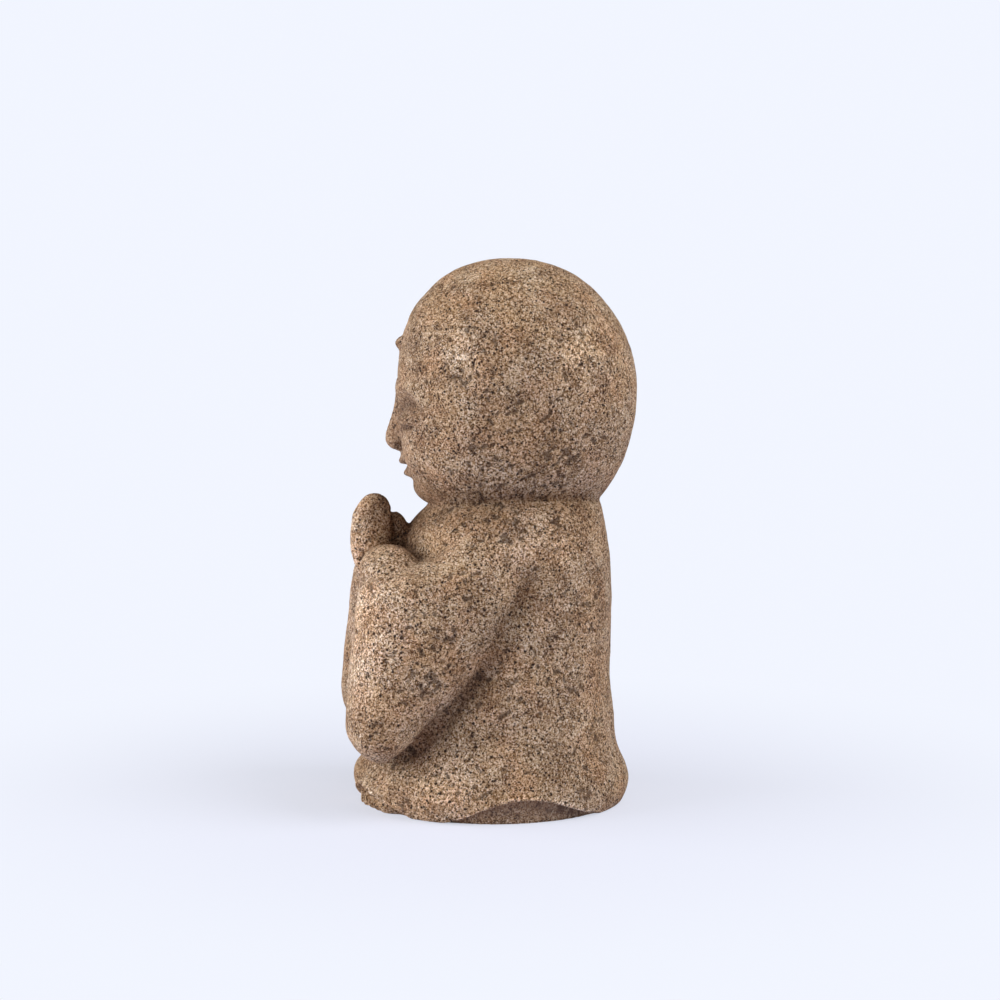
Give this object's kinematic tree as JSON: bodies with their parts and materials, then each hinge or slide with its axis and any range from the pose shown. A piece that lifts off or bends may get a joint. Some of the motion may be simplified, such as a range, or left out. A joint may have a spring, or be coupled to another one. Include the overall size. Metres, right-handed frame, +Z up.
{
  "type": "stone jizo statue",
  "caption": "Small carved granite figure of a bald child monk in a robe, palms joined in prayer, standing on a low base.",
  "frame": {"origin": "centre of the bounding box on the underside of the low base, where the figure stands", "axes": "+Z up through the crown of the head, -Y the way the figure faces, +X the figure's left side"},
  "size_m": [0.159, 0.1619, 0.3],
  "materials": {
    "granite": "rough tan-brown granite with dark grains, rust stains and pale scuffs"
  },
  "bodies": {
    "root": {"jizo_statue": "granite"}
  },
  "joints": []
}
